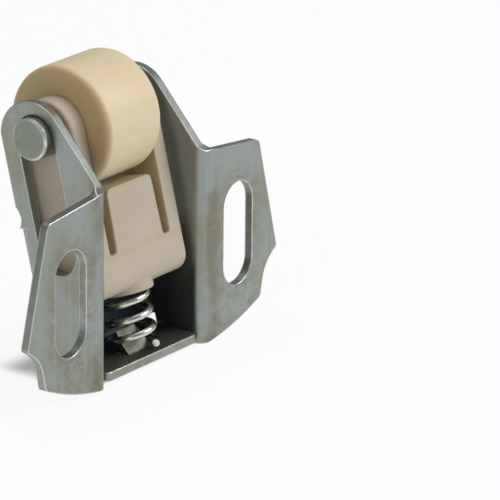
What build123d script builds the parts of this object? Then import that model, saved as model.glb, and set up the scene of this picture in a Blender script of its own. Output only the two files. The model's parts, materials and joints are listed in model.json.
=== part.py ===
from build123d import *
import os
from math import cos, degrees, radians, sin, tan

# Spring-loaded roller catch for a cupboard door.
# Millimetres. X runs across the catch, +Y away from the surface it is screwed to, +Z up towards the roller.
# The origin is on the mounting face of the two flanges, midway between the centres of their screw slots.

# --- Sheet metal bracket ---
SHEET = 1.0  # thickness of the steel sheet
FLANGE_BEND = 0.3  # inside radius between a cheek and its flange
WALL_BEND = 1.0  # inside radius of the bends round the back wall
CHEEK_HALF = 9.4  # from the middle to the outer face of a cheek
LEAN = radians(14)  # the slot, the back wall and the spring lean back by this much

SLOT_X = 14.9  # middle of a screw slot
SLOT_WIDTH = 5.3
SLOT_LENGTH = 12.0

FLANGE_TOP = 10.8  # at the bend
SHOULDER = (18.7, 9.9)  # top outer corner of a flange
SHOULDER_RADIUS = 0.9
HIP = (22.2, -3.5)  # widest point of a flange
HIP_RADIUS = 0.5
HOLLOW = (20.1, -5.4)  # on the arc between hip and waist
WAIST = (19.55, -6.9)  # deepest point of the hollow under the hip
HEEL = (19.2, -8.6)  # bottom outer corner
HEEL_RADIUS = 0.7
SOLE = (15.1, -10.2)  # on the shallow arc along the bottom
CHEEK_BOTTOM = -11.4
CORNER_RADIUS = 2.2  # where a cheek's sloping edge turns into the top of the flange
CORNER_RUN = 1.0  # how far the top edge keeps falling, out from the cheek

PIN_Y = 9.23  # axle in its rest place at the top of its slots
PIN_Z = 15.35
PIN_RADIUS = 2.35
PIN_SLOT_WIDTH = 5.0
PIN_SLOT_RUN = 12.85  # between the centres of the slot's round ends
HEAD_Y = 9.67  # round head of a cheek
HEAD_Z = 15.0
HEAD_RADIUS = 4.25
FRONT_EDGE = radians(48.5)  # slope of the cheek's front edge down to the flange
CHEEK_BACK = 4.63  # back edge of a cheek, behind the axle's line

WALL_INSIDE = 4.33  # front of the back wall, behind the axle's line
WALL_TOP = -9.9  # up the lean from the axle
NOTCH_WIDTH = 2.4  # bend relief between the cheek's free edge and the back wall

TAB_TOP = -10.0  # seat of the spring
TAB_HALF = 8.0
TAB_FRONT = 0.4
TAB_CORNER = 0.6
TONGUE_HALF = 1.95
TONGUE_TIP_HALF = 1.3
TONGUE_RISE = radians(45)
TONGUE_FRONT = 2.1  # where the tongue leaves the tab
TONGUE_LENGTH = 3.1
TONGUE_RADIUS = 0.4  # inside radius of its bend
LANCE_GAP = 0.25  # cut around the tongue

# --- Moulded carrier ---
ARM_INSIDE = 5.3
CARRIER_HALF = 7.55
CARRIER_DEPTH = 3.7  # from the axle's line to the front and to the back, and the arms' round heads
CARRIER_BOTTOM = -19.1
GROOVE_BOTTOM = -14.4
PANEL_TOP = -7.4
PANEL_TOP_HALF = 3.85
PANEL_FOOT_HALF = 4.1
PANEL_CORNER = 0.7
GROOVE_CORNER = 0.4
FOOT_RADIUS = 2.0
EDGE_RADIUS = 0.5
COLLAR_RADIUS = 3.4
COLLAR_HEIGHT = 0.4
POCKET_RADIUS = 3.0
POCKET_TOP = -15.0

# --- Roller and axle ---
ROLLER_RADIUS = 6.5
ROLLER_HALF = 5.15
ROLLER_ROUND = 1.2
RUNNING_CLEARANCE = 0.06
PIN_HALF = 10.5
PIN_CHAMFER = 0.25

# --- Spring ---
WIRE = 0.83
COIL_RADIUS = 2.48  # to the middle of the wire
HALF_TURNS = 11
SPRING_START = -65  # degrees about its axis, where the lower cut end lies
WIRE_SIDES = 8
LOWEST_WIRE = 0.14  # lowest point of the leaning coil, above its foot
SEAT_GAP = 0.02

WALL_OUTSIDE = WALL_INSIDE + SHEET
CHEEK_INSIDE = CHEEK_HALF - SHEET
FLANGE_ROOT = CHEEK_HALF + FLANGE_BEND  # where the flat of a flange begins


def leaning_plane(up):
    """Plane across the lean, a distance up it from the axle, with its Y pointing to the back wall."""
    origin = (0, PIN_Y + up * sin(LEAN), PIN_Z + up * cos(LEAN))
    return Plane(origin=origin, x_dir=(1, 0, 0), z_dir=(0, sin(LEAN), cos(LEAN)))


def side_point(back, up):
    """Y and Z of a point behind the axle's line and up the lean from the axle."""
    y = PIN_Y + back * cos(LEAN) + up * sin(LEAN)
    z = PIN_Z - back * sin(LEAN) + up * cos(LEAN)
    return (y, z)


def side_point_at(back, z):
    """Y and Z of the point at a given height on a line that runs behind the axle's line."""
    return (PIN_Y + back / cos(LEAN) + (z - PIN_Z) * tan(LEAN), z)


os.makedirs("parts", exist_ok=True)

# ---------------------------------------------------------------- bracket
tongue_reach = TONGUE_LENGTH * cos(TONGUE_RISE)
edge_top = (HEAD_Y - HEAD_RADIUS * sin(FRONT_EDGE), HEAD_Z + HEAD_RADIUS * cos(FRONT_EDGE))
edge_foot = (edge_top[0] - (edge_top[1] - FLANGE_TOP) / tan(FRONT_EDGE), FLANGE_TOP)
root_top = edge_foot[1] + (SHEET - edge_foot[0]) * tan(FRONT_EDGE)  # where a cheek leaves the flange
bend_line = WALL_INSIDE - WALL_BEND  # where a cheek's flat ends and its bend to the back wall begins
wall_foot = (TAB_TOP + WALL_BEND - PIN_Z + bend_line * sin(LEAN)) / cos(LEAN)

with BuildPart() as tongue:
    # A strip bent up from the tab, tapered towards its tip.
    with BuildSketch(Plane.YZ) as tongue_section:
        with BuildLine():
            FilletPolyline(
                (TONGUE_FRONT - SHEET, TAB_TOP),
                (TONGUE_FRONT, TAB_TOP),
                (TONGUE_FRONT + tongue_reach, TAB_TOP + TONGUE_LENGTH * sin(TONGUE_RISE)),
                radius=TONGUE_RADIUS,
            )
            offset(amount=SHEET, side=Side.RIGHT)
        make_face()
    extrude(amount=TONGUE_HALF, both=True)
    with BuildSketch(Plane.XY.offset(TAB_TOP)) as tongue_plan:
        with BuildLine():
            Polyline(
                (-TONGUE_HALF, TONGUE_FRONT - SHEET),
                (TONGUE_HALF, TONGUE_FRONT - SHEET),
                (TONGUE_HALF, TONGUE_FRONT + SHEET),
                (TONGUE_TIP_HALF, TONGUE_FRONT + tongue_reach + SHEET),
                (-TONGUE_TIP_HALF, TONGUE_FRONT + tongue_reach + SHEET),
                (-TONGUE_HALF, TONGUE_FRONT + SHEET),
                close=True,
            )
        make_face()
    extrude(amount=TONGUE_LENGTH, both=True, mode=Mode.INTERSECT)

with BuildPart() as bracket:
    # One cheek with its flange, bent outwards from the cheek's front edge.
    with BuildSketch(Plane.XY.offset(CHEEK_BOTTOM)) as cheek_section:
        with BuildLine():
            FilletPolyline(
                (CHEEK_INSIDE, HEAD_Y + 2 * HEAD_RADIUS),
                (CHEEK_INSIDE, 0),
                (HIP[0] + SHEET, 0),
                radius=FLANGE_BEND + SHEET,
            )
            offset(amount=SHEET, side=Side.LEFT)
        make_face()
    extrude(amount=HEAD_Z + HEAD_RADIUS - CHEEK_BOTTOM + SHEET)

    # Seen from the side: round head, sloping front edge and leaning back edge.
    with BuildSketch(Plane.YZ) as side_outline:
        with BuildLine():
            head = CenterArc((HEAD_Y, HEAD_Z), HEAD_RADIUS, 0, 90 + degrees(FRONT_EDGE))
            Polyline(
                head @ 1,
                edge_foot,
                (-2 * CORNER_RADIUS, FLANGE_TOP),
                (-2 * CORNER_RADIUS, CHEEK_BOTTOM),
                side_point_at(bend_line, CHEEK_BOTTOM),
                side_point(bend_line, WALL_TOP),
                side_point(CHEEK_BACK, WALL_TOP),
                head @ 0,
            )
        make_face()
        fillet(side_outline.vertices().sort_by_distance(edge_foot)[0], CORNER_RADIUS)
    extrude(amount=HIP[0] + SHEET, mode=Mode.INTERSECT)

    # Seen from the front: the flange's waisted outline.
    with BuildSketch(Plane.XZ) as front_outline:
        with BuildLine():
            crown = Polyline((0, CHEEK_BOTTOM), (0, 2 * PIN_Z), (CHEEK_HALF, 2 * PIN_Z), (CHEEK_HALF, root_top))
            shoulder = Polyline(crown @ 1, (CHEEK_HALF + CORNER_RUN, FLANGE_TOP), SHOULDER, HIP)
            hollow = ThreePointArc(shoulder @ 1, HOLLOW, WAIST)
            lobe = Line(hollow @ 1, HEEL)
            sole = ThreePointArc(lobe @ 1, SOLE, (FLANGE_ROOT, CHEEK_BOTTOM))
            Line(sole @ 1, crown @ 0)
        make_face()
        for corner, radius in ((SHOULDER, SHOULDER_RADIUS), (HIP, HIP_RADIUS), (HEEL, HEEL_RADIUS)):
            fillet(front_outline.vertices().sort_by_distance(corner)[0], radius)
    extrude(amount=2 * PIN_Y + SHEET, both=True, mode=Mode.INTERSECT)

    # Slot for a fixing screw.
    with BuildSketch(Plane.XZ) as screw_slot:
        with Locations((SLOT_X, 0)):
            SlotOverall(SLOT_LENGTH, SLOT_WIDTH, rotation=90)
    extrude(amount=2 * SHEET, both=True, mode=Mode.SUBTRACT)

    # Slot for the axle, and the bend relief in the cheek's back edge.
    with BuildSketch(Plane.YZ) as cheek_cuts:
        with Locations(side_point(0, -PIN_SLOT_RUN / 2)):
            SlotCenterToCenter(PIN_SLOT_RUN, PIN_SLOT_WIDTH, rotation=90 - degrees(LEAN))
        with Locations(side_point(CHEEK_BACK + NOTCH_WIDTH / 2, WALL_TOP + NOTCH_WIDTH / 2)):
            SlotCenterToCenter(2 * NOTCH_WIDTH, NOTCH_WIDTH, rotation=-degrees(LEAN))
    extrude(amount=HIP[0], mode=Mode.SUBTRACT)

    mirror(about=Plane.YZ)

    # Back wall between the cheeks, a shallow channel that follows the lean.
    with BuildSketch(leaning_plane(wall_foot)) as wall_section:
        with BuildLine():
            FilletPolyline(
                (-CHEEK_HALF, bend_line - SHEET / 2),
                (-CHEEK_HALF, WALL_OUTSIDE),
                (CHEEK_HALF, WALL_OUTSIDE),
                (CHEEK_HALF, bend_line - SHEET / 2),
                radius=WALL_BEND + SHEET,
            )
            offset(amount=SHEET, side=Side.RIGHT)
        make_face()
    extrude(amount=WALL_TOP - wall_foot)

    # Tab for the spring, bent forwards from the foot of the back wall.
    with BuildSketch(Plane.YZ) as tab_section:
        with BuildLine():
            FilletPolyline(
                side_point(WALL_OUTSIDE, wall_foot + SHEET / 2),
                side_point_at(WALL_OUTSIDE, TAB_TOP - SHEET),
                (TAB_FRONT, TAB_TOP - SHEET),
                radius=WALL_BEND + SHEET,
            )
            offset(amount=SHEET, side=Side.RIGHT)
        make_face()
    extrude(amount=TAB_HALF, both=True)
    upright_edges = bracket.edges().filter_by(Axis.Z)
    tab_corners = upright_edges.filter_by_position(Axis.Y, TAB_FRONT - TAB_CORNER / 2, TAB_FRONT + TAB_CORNER / 2)
    fillet(tab_corners, TAB_CORNER)

    # Window that the tongue was lanced from, and the tongue itself.
    with BuildSketch(Plane.XY.offset(TAB_TOP)) as window:
        with Locations((0, TONGUE_FRONT + TONGUE_LENGTH / 2)):
            Rectangle(2 * (TONGUE_HALF + LANCE_GAP), TONGUE_LENGTH + LANCE_GAP)
    extrude(amount=-2 * SHEET, mode=Mode.SUBTRACT)
    add(tongue.part)

# ---------------------------------------------------------------- carrier
lean_side = Plane(origin=(0, PIN_Y, PIN_Z), x_dir=(0, cos(LEAN), -sin(LEAN)), z_dir=(1, 0, 0))
lean_front = Plane(origin=(0, PIN_Y, PIN_Z), x_dir=(1, 0, 0), z_dir=(0, -cos(LEAN), sin(LEAN)))

with BuildPart() as carrier:
    # Side shape: a block with round heads about the axle and rounded feet.
    with BuildSketch(lean_side) as carrier_side:
        with Locations((0, CARRIER_BOTTOM / 2)):
            Rectangle(2 * CARRIER_DEPTH, -CARRIER_BOTTOM)
        fillet(carrier_side.vertices().group_by(Axis.Y)[0], FOOT_RADIUS)
        Circle(CARRIER_DEPTH)
    extrude(amount=CARRIER_HALF, both=True)
    outer_faces = carrier.faces().filter_by(Axis.X)
    fillet(outer_faces.edges(), EDGE_RADIUS)

    # Room for the roller between the arms, and a groove each side of the centre panel.
    with BuildSketch(lean_front) as room:
        with BuildLine():
            half = FilletPolyline(
                (0, PANEL_TOP),
                (PANEL_TOP_HALF, PANEL_TOP),
                (PANEL_FOOT_HALF, GROOVE_BOTTOM),
                (ARM_INSIDE, GROOVE_BOTTOM),
                (ARM_INSIDE, 2 * CARRIER_DEPTH),
                (0, 2 * CARRIER_DEPTH),
                radius=(PANEL_CORNER, GROOVE_CORNER, GROOVE_CORNER, 0),
            )
            mirror(half, about=Plane.YZ)
        make_face()
    extrude(amount=2 * CARRIER_DEPTH, both=True, mode=Mode.SUBTRACT)

    # Collar and blind pocket for the upper end of the spring.
    with BuildSketch(leaning_plane(CARRIER_BOTTOM - COLLAR_HEIGHT)) as collar:
        Circle(COLLAR_RADIUS)
    extrude(amount=COLLAR_HEIGHT + FOOT_RADIUS)
    with BuildSketch(leaning_plane(CARRIER_BOTTOM - COLLAR_HEIGHT)) as pocket:
        Circle(POCKET_RADIUS)
    extrude(amount=POCKET_TOP - CARRIER_BOTTOM + COLLAR_HEIGHT, mode=Mode.SUBTRACT)

    # Bores for the axle.
    with BuildSketch(lean_side) as axle_bores:
        Circle(PIN_RADIUS)
    extrude(amount=2 * CARRIER_HALF, both=True, mode=Mode.SUBTRACT)

# ---------------------------------------------------------------- roller
with BuildPart() as roller:
    with BuildSketch(lean_side) as roller_ring:
        Circle(ROLLER_RADIUS)
    extrude(amount=ROLLER_HALF, both=True)
    fillet(roller.edges(), ROLLER_ROUND)
    with BuildSketch(lean_side) as roller_bore:
        Circle(PIN_RADIUS + RUNNING_CLEARANCE)
    extrude(amount=2 * ROLLER_HALF, both=True, mode=Mode.SUBTRACT)

# ---------------------------------------------------------------- axle pin
with BuildPart() as axle_pin:
    with BuildSketch(lean_side) as pin_section:
        Circle(PIN_RADIUS)
    extrude(amount=PIN_HALF, both=True)
    chamfer(axle_pin.edges(), PIN_CHAMFER)

# ---------------------------------------------------------------- spring
spring_foot = (TAB_TOP + SEAT_GAP + WIRE / 2 - LOWEST_WIRE - PIN_Z) / cos(LEAN)
spring_head = POCKET_TOP - SEAT_GAP - WIRE / 2
half_pitch = (spring_head - spring_foot) / HALF_TURNS

with BuildPart() as spring:
    foot_plane = leaning_plane(spring_foot)
    cut_end = foot_plane.x_dir.rotate(Axis((0, 0, 0), foot_plane.z_dir), SPRING_START)
    coil_plane = Plane(origin=foot_plane.origin, x_dir=cut_end, z_dir=foot_plane.z_dir)
    # Each half turn is an arc that climbs from one side of the coil to the other.
    with BuildLine(coil_plane) as coil:
        for half_turn in range(HALF_TURNS):
            side = COIL_RADIUS * (-1) ** half_turn
            low = half_turn * half_pitch
            ThreePointArc((side, 0, low), (0, side, low + half_pitch / 2), (-side, 0, low + half_pitch))
    wire_path = coil.wires()[0]
    with BuildSketch(Plane(origin=wire_path @ 0, z_dir=wire_path % 0)):
        RegularPolygon(WIRE / 2, WIRE_SIDES)
    sweep(path=wire_path)

parts = {"bracket": bracket, "carrier": carrier, "roller": roller, "axle_pin": axle_pin, "spring": spring}
for name, piece in parts.items():
    piece.part.label = name
    export_step(piece.part, "parts/" + name + ".step")
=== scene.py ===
import json
import math

import bmesh
import bpy
from mathutils import Matrix, Vector


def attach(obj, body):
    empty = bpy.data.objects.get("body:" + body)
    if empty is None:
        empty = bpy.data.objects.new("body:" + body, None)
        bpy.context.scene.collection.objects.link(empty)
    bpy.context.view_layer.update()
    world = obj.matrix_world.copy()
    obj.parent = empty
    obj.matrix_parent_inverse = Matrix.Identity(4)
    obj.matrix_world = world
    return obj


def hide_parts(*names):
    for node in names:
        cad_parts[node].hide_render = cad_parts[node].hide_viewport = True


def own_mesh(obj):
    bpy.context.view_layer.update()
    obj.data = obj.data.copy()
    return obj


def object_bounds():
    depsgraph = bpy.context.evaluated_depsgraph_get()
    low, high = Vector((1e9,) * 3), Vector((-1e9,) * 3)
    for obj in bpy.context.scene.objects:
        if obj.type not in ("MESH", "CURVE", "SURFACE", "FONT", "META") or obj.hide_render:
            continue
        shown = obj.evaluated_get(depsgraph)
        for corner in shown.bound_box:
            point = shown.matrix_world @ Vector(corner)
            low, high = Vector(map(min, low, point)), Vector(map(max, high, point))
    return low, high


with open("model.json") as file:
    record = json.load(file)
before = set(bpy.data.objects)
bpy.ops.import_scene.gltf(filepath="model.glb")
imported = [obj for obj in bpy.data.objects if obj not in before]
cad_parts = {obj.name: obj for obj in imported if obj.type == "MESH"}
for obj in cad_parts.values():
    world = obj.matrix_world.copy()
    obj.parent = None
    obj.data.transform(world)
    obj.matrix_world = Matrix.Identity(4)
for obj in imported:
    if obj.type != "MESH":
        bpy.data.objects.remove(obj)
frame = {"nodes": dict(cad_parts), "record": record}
cad_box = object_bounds()

bl_info = {
    "name": "Roller Catch",
    "version": (1, 0, 0),
    "blender": (4, 5, 0),
    "location": "View3D > Sidebar > Roller Catch",
    "description": "Finishes, coil spring and studio for a spring-loaded roller catch",
    "category": "Add Mesh",
}

MM = 0.001
LEAN = math.radians(14)  # the slide, the back wall and the spring lean back by this much
UP_THE_LEAN = Vector((0, math.sin(LEAN), math.cos(LEAN)))
TO_BACK_WALL = Vector((0, math.cos(LEAN), -math.sin(LEAN)))

# Places on the catch in millimetres: X across it, Y away from the mounting face, Z up.
PIN_LINE_Y = 9.23  # axle of the roller
PIN_LINE_Z = 15.35
PIN_RADIUS = 2.35
CHEEK_INSIDE = 8.4
CHEEK_OUTSIDE = 9.4
SCREW_SLOT_X = 14.9
SCREW_SLOT_HALF_WIDTH = 2.65
SCREW_SLOT_STRAIGHT = 3.35  # from the middle of a screw slot to the centre of a round end
RELIEF_MIDDLE = -8.7  # up the lean from the axle
TAB_TOP = -10.0
PANEL_FOOT_HALF = 4.1  # the carrier's centre panel, beside its grooves
ARM_INSIDE = 5.3
ROLLER_RADIUS = 6.88
ROLLER_HALF = 4.78  # half the roller's width
ROLLER_MIDDLE = -0.47  # it rests against the left arm, with its play on the right
SPRING_FOOT = Vector((0, 2.983, -9.705)) * MM  # middle of the coil at the height of its lower cut end
SPRING_LENGTH = 10.82 * MM  # from there to the top of the carrier's pocket

# Second shades of the finishes.
ZINC_STREAK = (0.46, 0.50, 0.50)
NYLON_PALE = (0.62, 0.54, 0.42)
# Darker speckles in the nylon, and painted shade towards the carrier's foot.
NYLON_SPECKLE_AND_SHADE = (0.40, 0.33, 0.22)
NYLON_SPECK = (0.12, 0.10, 0.08)
ROLLER_PALE = (0.80, 0.68, 0.49)
# Painted shade round the roller's bore.
ROLLER_BORE_SHADE = (0.22, 0.16, 0.09)
PIN_PALE = (0.36, 0.37, 0.30)
PIN_DIRT = (0.20, 0.21, 0.17)
WIRE_DULL = (0.52, 0.52, 0.46)
# Painted shade for the inner side of the coil.
WIRE_INSIDE_SHADE = (0.16, 0.15, 0.12)

CAMERA_PLACE = Vector((-415.34, -316.56, 182.84)) * MM
CAMERA_TURN = math.radians(53.80)
CAMERA_DOWN = math.radians(19.09)
CAMERA_ROLL = math.radians(0.56)
FLOOR_HALF = 2.0  # half the floor's side, in metres
ROLLER_SEGMENTS = 128


# ---------------------------------------------------------------- sizes and colours
class CatchSpringSizes(bpy.types.PropertyGroup):
    wire: bpy.props.FloatProperty(
        name="Wire", description="Diameter of the spring wire", default=0.83 * MM, unit="LENGTH")
    coil_radius: bpy.props.FloatProperty(
        name="Coil radius", description="From the coil's axis to the middle of the wire",
        default=2.48 * MM, unit="LENGTH")
    turns: bpy.props.FloatProperty(name="Turns", description="Turns of the coil", default=5.5)
    rise: bpy.props.FloatProperty(
        name="Rise", description="Height of the coil between the middles of its two cut ends",
        default=10.387 * MM, unit="LENGTH")
    cut_end: bpy.props.FloatProperty(
        name="Cut end", description="Where the lower cut end lies, about the coil's axis",
        default=math.radians(-65), subtype="ANGLE")


class CatchReliefSizes(bpy.types.PropertyGroup):
    height: bpy.props.FloatProperty(
        name="Relief height", description="Height of the shallow bend relief in a cheek's back edge",
        default=2.3 * MM, unit="LENGTH")
    depth: bpy.props.FloatProperty(
        name="Relief depth", description="Depth of the bend relief", default=0.4 * MM, unit="LENGTH")


class CatchRollerSizes(bpy.types.PropertyGroup):
    radius: bpy.props.FloatProperty(
        name="Radius", description="Outer radius of the roller", default=ROLLER_RADIUS * MM, unit="LENGTH")
    bore: bpy.props.FloatProperty(
        name="Bore", description="Radius of the roller's bore", default=2.41 * MM, unit="LENGTH")
    rim: bpy.props.FloatProperty(
        name="Rim", description="Rounding of the roller's rims", default=0.9 * MM, unit="LENGTH")
    bore_rim: bpy.props.FloatProperty(
        name="Bore rim", description="Rounding of the bore's mouths", default=0.3 * MM, unit="LENGTH")


class CatchColours(bpy.types.PropertyGroup):
    zinc: bpy.props.FloatVectorProperty(
        name="Zinc", description="Zinc plate", default=(0.315, 0.345, 0.330), subtype="COLOR", size=3)
    zinc_green: bpy.props.FloatVectorProperty(
        name="Zinc, greenish", description="Thin yellow-green passivation on the zinc",
        default=(0.285, 0.295, 0.235), subtype="COLOR", size=3)
    zinc_brown: bpy.props.FloatVectorProperty(
        name="Zinc, stained", description="Brown tint beside slots and bends",
        default=(0.17, 0.135, 0.09), subtype="COLOR", size=3)
    # Painted highlight along the sheet's edges, partly their real burnished shine; also the colour of bright
    # scratches.
    zinc_scratch_and_edge_highlight: bpy.props.FloatVectorProperty(
        name="Sheared edge", description="Bright sheared edge of the sheet",
        default=(0.85, 0.89, 0.88), subtype="COLOR", size=3)
    # Painted shade for the bottom of the channel.
    inside: bpy.props.FloatVectorProperty(
        name="Inside", description="Oily dark bottom of the channel",
        default=(0.020, 0.036, 0.050), subtype="COLOR", size=3)
    carrier: bpy.props.FloatVectorProperty(
        name="Carrier", description="Moulded nylon of the carrier",
        default=(0.535, 0.465, 0.36), subtype="COLOR", size=3)
    # Painted shade in the grooves, under the roller and along the faint crease.
    carrier_painted_shade: bpy.props.FloatVectorProperty(
        name="Carrier, deep", description="Warmer nylon deep in the grooves",
        default=(0.50, 0.38, 0.17), subtype="COLOR", size=3)
    roller: bpy.props.FloatVectorProperty(
        name="Roller", description="Nylon of the roller", default=(0.77, 0.63, 0.42), subtype="COLOR", size=3)
    # Painted shade for the roller's end faces; also the tone of its fibres.
    roller_fibre_and_end_shade: bpy.props.FloatVectorProperty(
        name="Roller end", description="Nylon of the roller's end faces",
        default=(0.50, 0.36, 0.17), subtype="COLOR", size=3)
    pin: bpy.props.FloatVectorProperty(
        name="Pin", description="Plated axle pin", default=(0.27, 0.30, 0.25), subtype="COLOR", size=3)
    # Painted highlight on the pin's chamfer.
    pin_rim_highlight: bpy.props.FloatVectorProperty(
        name="Pin rim", description="Bright chamfer of the pin",
        default=(0.78, 0.80, 0.76), subtype="COLOR", size=3)
    spring: bpy.props.FloatVectorProperty(
        name="Spring", description="Drawn spring wire", default=(0.68, 0.68, 0.64), subtype="COLOR", size=3)


class CatchStudio(bpy.types.PropertyGroup):
    floor: bpy.props.FloatVectorProperty(
        name="Floor", description="Pale floor", default=(0.95, 0.95, 0.95), subtype="COLOR", size=3)
    shadow_share: bpy.props.FloatProperty(
        name="Shadow share", description="How much of the shadow the floor shows",
        default=0.10, subtype="FACTOR")
    key_power: bpy.props.FloatProperty(
        name="Key lamp", description="Power of the large lamp in front", default=3.3, unit="POWER")
    fill_power: bpy.props.FloatProperty(
        name="Fill lamp", description="Power of the lamp on the left", default=0.7, unit="POWER")
    top_power: bpy.props.FloatProperty(
        name="Top lamp", description="Power of the lamp overhead", default=1.9, unit="POWER")
    surroundings: bpy.props.FloatProperty(
        name="Surroundings", description="Brightness of the room", default=0.24)
    lens: bpy.props.FloatProperty(
        name="Lens", description="Focal length of the camera in millimetres", default=367.54)


# ---------------------------------------------------------------- node building
class Varying:
    """A number that changes over a surface. Arithmetic on it adds Math nodes."""

    def __init__(self, finish, socket):
        self.finish = finish
        self.socket = socket

    def maths(self, operation, *values):
        return self.finish.node("ShaderNodeMath", {"operation": operation}, dict(enumerate(values)))

    def __add__(self, other):
        return self.maths("ADD", self, other)

    def __sub__(self, other):
        return self.maths("SUBTRACT", self, other)

    def __rsub__(self, other):
        return self.maths("SUBTRACT", other, self)

    def __mul__(self, other):
        return self.maths("MULTIPLY", self, other)

    def __pow__(self, other):
        return self.maths("POWER", self, other)

    def __abs__(self):
        return self.maths("ABSOLUTE", self)

    __radd__ = __add__
    __rmul__ = __mul__

    def at_least(self, other):
        return self.maths("MAXIMUM", self, other)

    def at_most(self, other):
        return self.maths("MINIMUM", self, other)

    def rises(self, low, high):
        """0 below low, 1 above high, and a soft step between them."""
        settings = {"interpolation_type": "SMOOTHSTEP"}
        sockets = {"Value": self, "From Min": low, "From Max": high}
        return self.finish.node("ShaderNodeMapRange", settings, sockets)

    def falls(self, low, high):
        return 1 - self.rises(low, high)


class Finish:
    """A procedural material that is being put together."""

    def __init__(self, name, tree=None):
        if tree is None:
            self.material = bpy.data.materials.new(name)
            self.material.use_nodes = True
            tree = self.material.node_tree
        tree.nodes.clear()
        self.tree = tree

    def node(self, kind, settings=None, sockets=None, output=0):
        """Add a node: its settings first, then the values or links of its sockets."""
        made = self.tree.nodes.new(kind)
        for name, setting in (settings or {}).items():
            setattr(made, name, setting)
        for name, value in (sockets or {}).items():
            socket = made.inputs[name]
            if isinstance(value, Varying):
                self.tree.links.new(value.socket, socket)
            elif hasattr(socket.default_value, "__len__") and len(socket.default_value) == 4:
                socket.default_value = (*value[:3], 1)
            else:
                socket.default_value = value
        return Varying(self, made.outputs[output]) if made.outputs else made

    def millimetres(self, turn=(0, 0, 0), stretch=(1, 1, 1)):
        """Place on the piece in millimetres, turned and stretched for a pattern."""
        place = self.node("ShaderNodeTexCoord", output="Object")
        scale = tuple(1000 * share for share in stretch)
        return self.node("ShaderNodeMapping", None, {"Vector": place, "Rotation": turn, "Scale": scale})

    def axes(self):
        place = self.millimetres()
        return [self.node("ShaderNodeSeparateXYZ", None, {0: place}, output=axis) for axis in range(3)]

    def noise(self, scale, detail=3, roughness=0.55, **mapping):
        place = self.millimetres(**mapping)
        sockets = {"Vector": place, "Scale": scale, "Detail": detail, "Roughness": roughness}
        return self.node("ShaderNodeTexNoise", None, sockets)

    def mix(self, share, first, second):
        return self.node("ShaderNodeMix", {"data_type": "RGBA"}, {0: share, 6: first, 7: second}, output=2)

    def rounded(self, radius):
        return self.node("ShaderNodeBevel", {"samples": 6}, {"Radius": radius * MM})

    def edge(self, soft_normal, low=0.01, high=0.10):
        """1 along the edges that the soft normal rounds, 0 on flat faces."""
        true_normal = self.node("ShaderNodeNewGeometry", output="Normal")
        sockets = {0: soft_normal, 1: true_normal}
        flatness = self.node("ShaderNodeVectorMath", {"operation": "DOT_PRODUCT"}, sockets, output="Value")
        return (1 - flatness).rises(low, high)

    def bump(self, height, distance, normal, strength=1.0):
        sockets = {"Height": height, "Distance": distance * MM, "Strength": strength, "Normal": normal}
        return self.node("ShaderNodeBump", None, sockets)

    def surface(self, sockets):
        shader = self.node("ShaderNodeBsdfPrincipled", None, sockets)
        self.node("ShaderNodeOutputMaterial", None, {"Surface": shader})
        return self.material


def give(node_name, material):
    """Put a finish on a CAD node."""
    slots = frame["nodes"][node_name].data.materials
    if len(slots) == 0:
        slots.append(material)
    for index in range(len(slots)):
        slots[index] = material


def colours():
    return bpy.context.scene.catch_colours


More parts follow.
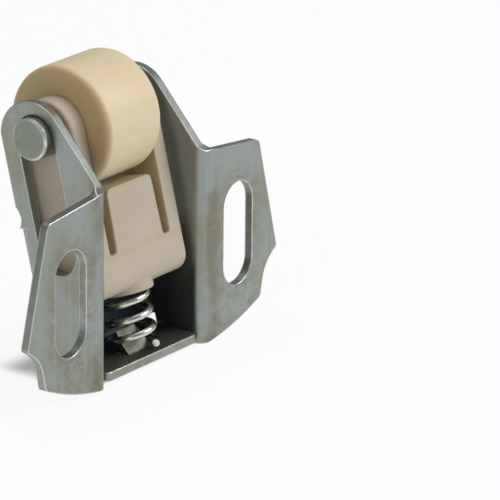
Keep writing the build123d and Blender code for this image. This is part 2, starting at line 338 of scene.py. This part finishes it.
# ---------------------------------------------------------------- finishes
def zinc_plate():
    tint = colours()
    finish = Finish("zinc_plate")
    x, y, z = finish.axes()
    across = abs(x)

    cloud = finish.noise(0.16, detail=2)
    blotch = finish.noise(0.75, detail=4)
    drawn = finish.noise(1.0, detail=3, stretch=(2.6, 2.6, 0.10))
    grain = finish.noise(9.0, detail=2)

    # Brown tints round the screw slots, along the bends and low on the flanges.
    beyond_slot = (abs(z) - SCREW_SLOT_STRAIGHT).at_least(0)
    beside_slot = across - SCREW_SLOT_X
    from_slot = (beside_slot * beside_slot + beyond_slot * beyond_slot) ** 0.5 - SCREW_SLOT_HALF_WIDTH
    on_flange = y.falls(1.2, 2.2)
    stain = from_slot.falls(0.0, 2.4) * on_flange * blotch.rises(0.35, 0.62)
    near_bend = across.rises(CHEEK_OUTSIDE - 0.4, CHEEK_OUTSIDE + 0.2) * across.falls(10.4, 11.8)
    bend = near_bend * on_flange * cloud.rises(0.38, 0.60)
    low_flange = z.falls(-10.0, -3.0) * on_flange * blotch.rises(0.42, 0.66)
    brown = (stain * 0.32 + bend * 0.45 + low_flange * 0.22).at_most(0.7)

    # Painted shade darkens the bottom of the channel, under the carrier.
    # The tab's front and its tongue stay bright.
    tongue = across.falls(2.1, 2.4) * z.falls(-7.4, -6.8) * y.falls(5.6, 6.2)
    on_tab = z.falls(TAB_TOP + 0.03, TAB_TOP + 0.10)
    behind = (1 - on_tab) * (1 - tongue) + on_tab * y.rises(2.4, 5.0) * 0.8
    between_cheeks = across.falls(CHEEK_INSIDE - 0.3, CHEEK_INSIDE + 0.2)
    dark = between_cheeks * z.falls(-6.5, 2.0) * y.rises(0.9, 1.3) * behind

    # Fine scratches from handling.
    lines = abs(finish.noise(1.0, detail=1, turn=(0.55, 0.2, 0.35), stretch=(0.5, 0.16, 3.4)) - 0.5)
    scratch = lines.falls(0.003, 0.010) * finish.noise(0.22, detail=1).rises(0.50, 0.60)

    soft = finish.rounded(0.24)
    edge = finish.edge(soft)

    metal = finish.mix(cloud.rises(0.36, 0.64), tint.zinc, tint.zinc_green)
    metal = finish.mix(drawn.rises(0.40, 0.75) * 0.22, metal, ZINC_STREAK)
    metal = finish.mix(brown, metal, tint.zinc_brown)
    metal = finish.mix(scratch * 0.28, metal, tint.zinc_scratch_and_edge_highlight)
    # Painted highlight along the sheet's edges, partly their real burnished shine.
    metal = finish.mix(edge * 0.85, metal, tint.zinc_scratch_and_edge_highlight)
    # Painted shade on the bottom of the channel.
    metal = finish.mix(dark * 0.93, metal, tint.inside)

    rough = 0.26 + drawn * 0.16 + blotch * 0.10 + brown * 0.12 - edge * 0.08
    height = drawn * 0.6 + grain * 0.25 - scratch * 0.7
    return finish.surface({
        "Base Color": metal,
        "Metallic": 0.92,
        "Roughness": rough,
        "Normal": finish.bump(height, 0.02, soft, 0.6),
    })


def carrier_nylon():
    tint = colours()
    finish = Finish("carrier_nylon")
    x, y, z = finish.axes()
    cloud = finish.noise(0.22, detail=3)
    speckle = finish.noise(6.0, detail=3)
    matt = finish.noise(14.0, detail=2)

    # Down the lean from the axle, for the grooves and the faint crease across the front.
    down = (PIN_LINE_Z - z) * math.cos(LEAN) + (PIN_LINE_Y - y) * math.sin(LEAN)
    across = abs(x)
    beside_panel = across.rises(PANEL_FOOT_HALF - 0.4, PANEL_FOOT_HALF)
    groove = beside_panel * across.falls(ARM_INSIDE - 0.1, ARM_INSIDE + 0.2) * down.falls(12.0, 15.0)
    under_roller = down.rises(4.0, 6.3) * down.falls(6.9, 8.2) * across.falls(5.1, 5.4)
    crease = abs(down - 14.45).falls(0.10, 0.42)
    speck = ((x - 6.6) * (x - 6.6) + (down - 1.9) * (down - 1.9)) ** 0.5
    speck = speck.falls(0.18, 0.34) * y.falls(7.0, 8.0)
    # Darker speckles are the nylon's own tone; darker towards the foot is painted shade.
    speckle_and_foot_shade = (speckle.rises(0.62, 0.80) * 0.22 + down.rises(16.5, 19.4) * 0.30).at_most(0.6)

    soft = finish.rounded(0.35)
    colour = finish.mix(cloud.rises(0.35, 0.65) * 0.35, tint.carrier, NYLON_PALE)
    # Painted shade in the grooves, under the roller and along the faint crease.
    colour = finish.mix((groove * 0.75 + under_roller * 0.6).at_most(0.85), colour, tint.carrier_painted_shade)
    colour = finish.mix(crease * 0.22, colour, tint.carrier_painted_shade)
    colour = finish.mix(speckle_and_foot_shade, colour, NYLON_SPECKLE_AND_SHADE)
    colour = finish.mix(speck * 0.7, colour, NYLON_SPECK)
    height = matt * 0.5 + speckle * 0.4 - crease * 0.8
    return finish.surface({
        "Base Color": colour,
        "Roughness": 0.42 + matt * 0.16,
        "Subsurface Weight": 0.25,
        "Subsurface Radius": (1.0, 0.75, 0.45),
        "Subsurface Scale": 1.2 * MM,
        "Normal": finish.bump(height, 0.03, soft, 0.45),
    })


def roller_nylon():
    tint = colours()
    finish = Finish("roller_nylon")
    x, y, z = finish.axes()
    back = y - PIN_LINE_Y
    up = z - PIN_LINE_Z
    radius = (back * back + up * up) ** 0.5
    end = abs(x - ROLLER_MIDDLE).rises(ROLLER_HALF - 0.9, ROLLER_HALF - 0.05)
    cloud = finish.noise(0.20, detail=3)
    fibres = finish.noise(3.2, detail=4)
    fine = finish.noise(13.0, detail=2)

    # Turned rings on the end faces, and a faint polished track round the middle.
    rings = finish.node("ShaderNodeMath", {"operation": "SINE"}, {0: radius * 9.0}) * 0.5 + 0.5
    track = abs(x).falls(2.2, 4.2)
    parting = abs(x).falls(0.03, 0.12)

    soft = finish.rounded(0.4)
    colour = finish.mix(cloud.rises(0.35, 0.65) * 0.4, tint.roller, ROLLER_PALE)
    colour = finish.mix(fibres.rises(0.55, 0.80) * 0.22, colour, tint.roller_fibre_and_end_shade)
    # Painted shade on the roller's end faces.
    colour = finish.mix(end * 0.85, colour, tint.roller_fibre_and_end_shade)
    # Painted shade round the bore on the end faces.
    colour = finish.mix(radius.falls(PIN_RADIUS + 0.15, PIN_RADIUS + 0.85) * end * 0.5, colour, ROLLER_BORE_SHADE)
    height = fine * 0.35 + fibres * 0.5 + rings * end * 0.6 + parting * 0.35
    return finish.surface({
        "Base Color": colour,
        "Roughness": 0.40 + fine * 0.14 - track * 0.08,
        "Subsurface Weight": 0.35,
        "Subsurface Radius": (1.0, 0.72, 0.38),
        "Subsurface Scale": 1.8 * MM,
        "Normal": finish.bump(height, 0.025, soft, 0.5),
    })


def pin_steel():
    tint = colours()
    finish = Finish("pin_steel")
    x, y, z = finish.axes()
    back = y - PIN_LINE_Y
    up = z - PIN_LINE_Z
    radius = (back * back + up * up) ** 0.5
    cloud = finish.noise(0.9, detail=3)
    grain = finish.noise(10.0, detail=3)
    rings = finish.node("ShaderNodeMath", {"operation": "SINE"}, {0: radius * 16.0}) * 0.5 + 0.5
    rim = radius.rises(2.02, 2.16) * abs(x).rises(10.1, 10.25)

    soft = finish.rounded(0.08)
    colour = finish.mix(cloud.rises(0.35, 0.65) * 0.5, tint.pin, PIN_PALE)
    colour = finish.mix(grain.rises(0.6, 0.8) * 0.35, colour, PIN_DIRT)
    # Painted highlight on the chamfer round the pin's end.
    colour = finish.mix(rim * 0.9, colour, tint.pin_rim_highlight)
    return finish.surface({
        "Base Color": colour,
        "Metallic": 0.85,
        "Roughness": 0.46 + grain * 0.14 - rim * 0.2,
        "Normal": finish.bump(grain * 0.6 + rings * 0.3, 0.02, soft, 0.5),
    })


def spring_steel():
    tint = colours()
    finish = Finish("spring_steel")
    x, y, z = finish.axes()
    drawn = finish.noise(1.4, detail=3, stretch=(1, 1, 5))
    grain = finish.noise(8.0, detail=3)
    # Painted shade on the inner side of the coil.
    from_axis = y - SPRING_FOOT.y / MM - (z - SPRING_FOOT.z / MM) * math.tan(LEAN)
    inside = (x * x + from_axis * from_axis) ** 0.5
    inside = inside.falls(2.15, 2.45)
    colour = finish.mix(drawn.rises(0.35, 0.7) * 0.4, tint.spring, WIRE_DULL)
    colour = finish.mix(inside * 0.7, colour, WIRE_INSIDE_SHADE)
    plain = finish.node("ShaderNodeNewGeometry", output="Normal")
    return finish.surface({
        "Base Color": colour,
        "Metallic": 1.0,
        "Roughness": 0.17 + drawn * 0.12 + grain * 0.06,
        "Normal": finish.bump(drawn * 0.6 + grain * 0.3, 0.012, plain, 0.5),
    })


# ---------------------------------------------------------------- bracket and roller
def keep_mesh(piece):
    """Apply a piece's modifiers, and shade its curves smooth and its corners sharp."""
    evaluated = piece.evaluated_get(bpy.context.evaluated_depsgraph_get())
    mesh = bpy.data.meshes.new_from_object(evaluated)
    piece.modifiers.clear()
    piece.data = mesh
    shape = bmesh.new()
    shape.from_mesh(mesh)
    bmesh.ops.remove_doubles(shape, verts=shape.verts, dist=0.0005 * MM)
    bmesh.ops.recalc_face_normals(shape, faces=shape.faces)
    for edge in shape.edges:
        edge.smooth = len(edge.link_faces) == 2 and edge.calc_face_angle() < math.radians(28)
    for face in shape.faces:
        face.smooth = True
    shape.to_mesh(mesh)
    shape.free()
    return piece


def new_piece(name, shape):
    mesh = bpy.data.meshes.new(name)
    bmesh.ops.recalc_face_normals(shape, faces=shape.faces)
    shape.to_mesh(mesh)
    shape.free()
    piece = bpy.data.objects.new(name, mesh)
    bpy.context.scene.collection.objects.link(piece)
    return piece


def relief_web(side, sizes):
    """The sheet between the axle's slot and a cheek's back edge, with its shallow bend relief."""
    low, high, slot_edge, back_edge = -9.915, -7.2, 2.502, 4.6
    middle = RELIEF_MIDDLE * MM
    outline = [(slot_edge * MM, low * MM), (back_edge * MM, low * MM)]
    steps = 12
    for step in range(steps + 1):
        share = step / steps
        up = middle + sizes.height * (share - 0.5)
        outline.append((back_edge * MM - sizes.depth * math.sin(math.pi * share), up))
    outline += [(back_edge * MM, high * MM), (slot_edge * MM, high * MM)]
    axle = Vector((0, PIN_LINE_Y, PIN_LINE_Z)) * MM
    faces = [Vector((side * across * MM, 0, 0)) + axle for across in (CHEEK_INSIDE, CHEEK_OUTSIDE)]
    shape = bmesh.new()
    rings = []
    for face in faces:
        rings.append([shape.verts.new(face + TO_BACK_WALL * back + UP_THE_LEAN * up) for back, up in outline])
    for ring in rings:
        shape.faces.new(ring)
    for index in range(len(outline)):
        following = (index + 1) % len(outline)
        shape.faces.new((rings[0][index], rings[0][following], rings[1][following], rings[1][index]))
    return new_piece("relief_web", shape)


def folded_bracket(sizes):
    """The CAD bracket with whole cheeks behind the axle's slots."""
    shape = bmesh.new()
    shape.from_mesh(frame["nodes"]["bracket"].data)
    bmesh.ops.remove_doubles(shape, verts=shape.verts, dist=0.0005 * MM)
    bracket = new_piece("folded_bracket", shape)
    webs = [relief_web(side, sizes) for side in (-1, 1)]
    for web in webs:
        union = bracket.modifiers.new("web", "BOOLEAN")
        union.operation = "UNION"
        union.solver = "EXACT"
        union.object = web
    bpy.context.view_layer.update()
    keep_mesh(bracket)
    for web in webs:
        bpy.data.objects.remove(web)
    return bracket


def roller_profile(sizes):
    """Half section of the roller: distance along the axle and from it, in metres."""
    half = ROLLER_HALF * MM
    corners = ((-half, sizes.bore, sizes.bore_rim, 270), (-half, sizes.radius, sizes.rim, 180),
               (half, sizes.radius, sizes.rim, 90), (half, sizes.bore, sizes.bore_rim, 0))
    profile = []
    steps = 6
    for along, out, rounding, first_angle in corners:
        inward = -1 if along > 0 else 1
        outward = -1 if out == sizes.radius else 1
        for step in range(steps + 1):
            angle = math.radians(first_angle - 90 * step / steps)
            centre = (along + inward * rounding, out + outward * rounding)
            profile.append((centre[0] + rounding * math.cos(angle), centre[1] + rounding * math.sin(angle)))
    return profile


def turned_roller(sizes):
    """The roller as a turned ring with rounded rims, resting against the left arm."""
    profile = roller_profile(sizes)
    shape = bmesh.new()
    rings = []
    for segment in range(ROLLER_SEGMENTS):
        turn = 2 * math.pi * segment / ROLLER_SEGMENTS
        outwards = Vector((0, math.cos(turn), math.sin(turn)))
        axle = Vector((ROLLER_MIDDLE, PIN_LINE_Y, PIN_LINE_Z)) * MM
        places = [axle + Vector((along, 0, 0)) + outwards * out for along, out in profile]
        rings.append([shape.verts.new(place) for place in places])
    for segment in range(ROLLER_SEGMENTS):
        ring, following = rings[segment], rings[(segment + 1) % ROLLER_SEGMENTS]
        for index in range(len(profile)):
            onward = (index + 1) % len(profile)
            shape.faces.new((ring[index], ring[onward], following[onward], following[index]))
    return keep_mesh(new_piece("turned_roller", shape))


# ---------------------------------------------------------------- coil spring
def coil_tree(material):
    """Geometry Nodes tree that winds round wire into a leaning coil with two square cut ends."""
    tree = bpy.data.node_groups.new("wound_coil", "GeometryNodeTree")
    for name in ("Wire Radius", "Coil Radius", "Turns", "Rise", "Cut End"):
        tree.interface.new_socket(name=name, in_out="INPUT", socket_type="NodeSocketFloat")
    tree.interface.new_socket(name="Coil", in_out="OUTPUT", socket_type="NodeSocketGeometry")

    def add(kind, settings=None, values=None, links=None):
        made = tree.nodes.new(kind)
        for name, setting in (settings or {}).items():
            setattr(made, name, setting)
        for name, value in (values or {}).items():
            made.inputs[name].default_value = value
        for name, socket in (links or {}).items():
            tree.links.new(socket, made.inputs[name])
        return made

    sizes = add("NodeGroupInput").outputs
    spiral = add("GeometryNodeCurveSpiral", None, {"Resolution": 48, "Reverse": True}, {
        "Rotations": sizes["Turns"],
        "Start Radius": sizes["Coil Radius"],
        "End Radius": sizes["Coil Radius"],
        "Height": sizes["Rise"],
    })
    start = add("ShaderNodeCombineXYZ", None, None, {"Z": sizes["Cut End"]})
    turned = add("GeometryNodeTransform", None, None, {
        "Geometry": spiral.outputs[0], "Rotation": start.outputs[0]})
    leaning = add("GeometryNodeTransform", None, {"Rotation": (-LEAN, 0, 0), "Translation": SPRING_FOOT}, {
        "Geometry": turned.outputs[0]})
    wire = add("GeometryNodeCurvePrimitiveCircle", {"mode": "RADIUS"}, {"Resolution": 20}, {
        "Radius": sizes["Wire Radius"]})
    wound = add("GeometryNodeCurveToMesh", None, {"Fill Caps": True}, {
        "Curve": leaning.outputs[0], "Profile Curve": wire.outputs[0]})
    real = add("GeometryNodeRealizeInstances", None, None, {0: wound.outputs[0]})
    finished = add("GeometryNodeSetMaterial", None, {"Material": material}, {"Geometry": real.outputs[0]})
    result = add("NodeGroupOutput")
    tree.links.new(finished.outputs[0], result.inputs[0])
    return tree


def plain_mesh(name, tree, inputs):
    """Run a Geometry Nodes tree once and keep its result as an ordinary mesh object."""
    empty_mesh = bpy.data.meshes.new(name)
    piece = bpy.data.objects.new(name, empty_mesh)
    bpy.context.scene.collection.objects.link(piece)
    modifier = piece.modifiers.new("winding", "NODES")
    modifier.node_group = tree
    identifiers = {item.name: item.identifier for item in tree.interface.items_tree if item.in_out == "INPUT"}
    for label, value in inputs.items():
        modifier[identifiers[label]] = value
    bpy.context.view_layer.update()
    evaluated = piece.evaluated_get(bpy.context.evaluated_depsgraph_get())
    mesh = bpy.data.meshes.new_from_object(evaluated)
    if len(mesh.polygons) == 0:
        raise RuntimeError("the winding of " + name + " came out empty")
    piece.modifiers.remove(modifier)
    piece.data = mesh
    bpy.data.meshes.remove(empty_mesh)
    return piece


# ---------------------------------------------------------------- operators
class CATCH_OT_bracket(bpy.types.Operator):
    """Give the folded bracket its zinc plate"""
    bl_idname = "catch.bracket"
    bl_label = "Finish the bracket"

    def execute(self, context):
        bracket = folded_bracket(context.scene.catch_relief)
        bracket.data.materials.clear()
        bracket.data.materials.append(zinc_plate())
        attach(bracket, "bracket")
        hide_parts("bracket")
        return {"FINISHED"}


class CATCH_OT_mouldings(bpy.types.Operator):
    """Give the carrier and the roller their nylon"""
    bl_idname = "catch.mouldings"
    bl_label = "Finish carrier and roller"

    def execute(self, context):
        give("carrier", carrier_nylon())
        roller = turned_roller(context.scene.catch_roller)
        roller.data.materials.append(roller_nylon())
        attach(roller, "roller")
        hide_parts("roller")
        return {"FINISHED"}


class CATCH_OT_pin(bpy.types.Operator):
    """Give the axle pin its dull plated steel"""
    bl_idname = "catch.pin"
    bl_label = "Finish the axle pin"

    def execute(self, context):
        give("axle_pin", pin_steel())
        return {"FINISHED"}


class CATCH_OT_spring(bpy.types.Operator):
    """Wind the coil spring from round wire, in place of its plain solid"""
    bl_idname = "catch.spring"
    bl_label = "Wind the spring"

    def execute(self, context):
        sizes = context.scene.catch_spring
        material = spring_steel()
        coil = plain_mesh("coil_spring", coil_tree(material), {
            "Wire Radius": sizes.wire / 2,
            "Coil Radius": sizes.coil_radius,
            "Turns": sizes.turns,
            "Rise": sizes.rise,
            "Cut End": sizes.cut_end,
        })
        for face in coil.data.polygons:
            face.use_smooth = len(face.vertices) == 4
        joints = frame["record"]["behaviour"]["joints"]
        slide = next(joint for joint in joints if joint["name"] == "carrier_slide")
        travel = slide["range_m"][1]
        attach(coil, "bracket")
        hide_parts("spring")
        (SPRING_LENGTH - travel) / SPRING_LENGTH
        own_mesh(coil)
        return {"FINISHED"}


class CATCH_OT_stage(bpy.types.Operator):
    """Lay the floor, hang the lamps and aim the camera"""
    bl_idname = "catch.stage"
    bl_label = "Set the stage"

    def execute(self, context):
        studio = context.scene.catch_studio
        self.lay_floor(context, studio)
        self.fill_room(context, studio)
        self.hang_lamps(context, studio)
        self.aim_camera(context, studio)
        context.scene.view_settings.view_transform = "Standard"
        return {"FINISHED"}

    def seen_directly(self, finish):
        """1 for rays from the camera and for reflected and refracted ones."""
        rays = [finish.node("ShaderNodeLightPath", output=ray) for ray in (
            "Is Camera Ray", "Is Glossy Ray", "Is Transmission Ray")]
        return rays[0].at_least(rays[1]).at_least(rays[2])

    def lay_floor(self, context, studio):
        low = cad_box[0][2]
        mesh = bpy.data.meshes.new("floor")
        sides = ((-1, -1), (1, -1), (1, 1), (-1, 1))
        corners = [(across * FLOOR_HALF, back * FLOOR_HALF, low) for across, back in sides]
        mesh.from_pydata(corners, [], [(0, 1, 2, 3)])
        floor = bpy.data.objects.new("floor", mesh)
        context.scene.collection.objects.link(floor)
        finish = Finish("pale_floor")
        matt = finish.node("ShaderNodeBsdfDiffuse", None, {"Color": studio.floor})
        white = finish.node("ShaderNodeEmission", None, {"Color": (1, 1, 1), "Strength": 1.0})
        x, y = finish.axes()[:2]
        under_tab = abs(x).falls(9.0, 12.0) * y.rises(0.8, 2.0) * y.falls(11.0, 15.0)
        share = self.seen_directly(finish) * (1 - studio.shadow_share) * (1 - under_tab)
        shader = finish.node("ShaderNodeMixShader", None, {0: share, 1: matt, 2: white})
        finish.node("ShaderNodeOutputMaterial", None, {"Surface": shader})
        mesh.materials.append(finish.material)

    def fill_room(self, context, studio):
        world = bpy.data.worlds.new("studio_room")
        world.use_nodes = True
        context.scene.world = world
        finish = Finish("studio_room", world.node_tree)
        lit = finish.node("ShaderNodeBackground", None, {"Color": (1, 1, 1), "Strength": studio.surroundings})
        white = finish.node("ShaderNodeBackground", None, {"Color": (1, 1, 1), "Strength": 1.0})
        camera = finish.node("ShaderNodeLightPath", output="Is Camera Ray")
        shader = finish.node("ShaderNodeMixShader", None, {0: camera, 1: lit, 2: white})
        finish.node("ShaderNodeOutputWorld", None, {"Surface": shader})

    def hang_lamps(self, context, studio):
        middle = (Vector(cad_box[0]) + Vector(cad_box[1])) / 2
        lamps = (
            ("key_lamp", (0.35, -0.55, 0.45), 0.40, studio.key_power),
            ("fill_lamp", (-0.70, -0.10, 0.25), 0.45, studio.fill_power),
            ("top_lamp", (0.05, 0.10, 0.75), 0.50, studio.top_power),
        )
        for name, place, size, power in lamps:
            light = bpy.data.lights.new(name, "AREA")
            light.shape = "SQUARE"
            light.size = size
            light.energy = power
            lamp = bpy.data.objects.new(name, light)
            lamp.location = middle + Vector(place)
            lamp.rotation_euler = (-Vector(place)).to_track_quat("-Z", "Y").to_euler()
            context.scene.collection.objects.link(lamp)

    def aim_camera(self, context, studio):
        forwards = Vector((math.sin(CAMERA_TURN), math.cos(CAMERA_TURN), 0))
        view = forwards * math.cos(CAMERA_DOWN) - Vector((0, 0, math.sin(CAMERA_DOWN)))
        level = Vector((math.cos(CAMERA_TURN), -math.sin(CAMERA_TURN), 0))
        upright = level.cross(view)
        right = math.cos(CAMERA_ROLL) * level + math.sin(CAMERA_ROLL) * upright
        top = -math.sin(CAMERA_ROLL) * level + math.cos(CAMERA_ROLL) * upright
        data = bpy.data.cameras.new("camera")
        data.lens = studio.lens
        data.sensor_width = 36
        data.clip_end = 20
        camera = bpy.data.objects.new("camera", data)
        pose = Matrix((right, top, -view)).transposed().to_4x4()
        pose.translation = CAMERA_PLACE
        camera.matrix_world = pose
        context.scene.collection.objects.link(camera)
        context.scene.camera = camera


class CATCH_PT_panel(bpy.types.Panel):
    """Steps that finish the roller catch"""
    bl_idname = "CATCH_PT_panel"
    bl_label = "Roller Catch"
    bl_space_type = "VIEW_3D"
    bl_region_type = "UI"
    bl_category = "Roller Catch"

    def draw(self, context):
        layout = self.layout
        for step in STEPS:
            layout.operator(step.bl_idname)
        for group in (getattr(context.scene, name) for name in SETTINGS):
            box = layout.box()
            for name in group.__annotations__:
                box.prop(group, name)


SETTINGS = {
    "catch_spring": CatchSpringSizes,
    "catch_relief": CatchReliefSizes,
    "catch_roller": CatchRollerSizes,
    "catch_colours": CatchColours,
    "catch_studio": CatchStudio,
}
STEPS = (CATCH_OT_bracket, CATCH_OT_mouldings, CATCH_OT_pin, CATCH_OT_spring, CATCH_OT_stage)


def register():
    for kind in (*SETTINGS.values(), *STEPS, CATCH_PT_panel):
        bpy.utils.register_class(kind)
    for name, kind in SETTINGS.items():
        setattr(bpy.types.Scene, name, bpy.props.PointerProperty(type=kind))


def unregister():
    for name in SETTINGS:
        delattr(bpy.types.Scene, name)
    for kind in reversed((*SETTINGS.values(), *STEPS, CATCH_PT_panel)):
        bpy.utils.unregister_class(kind)


def main():
    register()
    bpy.ops.catch.bracket()
    bpy.ops.catch.mouldings()
    bpy.ops.catch.pin()
    bpy.ops.catch.spring()
    bpy.ops.catch.stage()


if __name__ == "__main__":
    main()
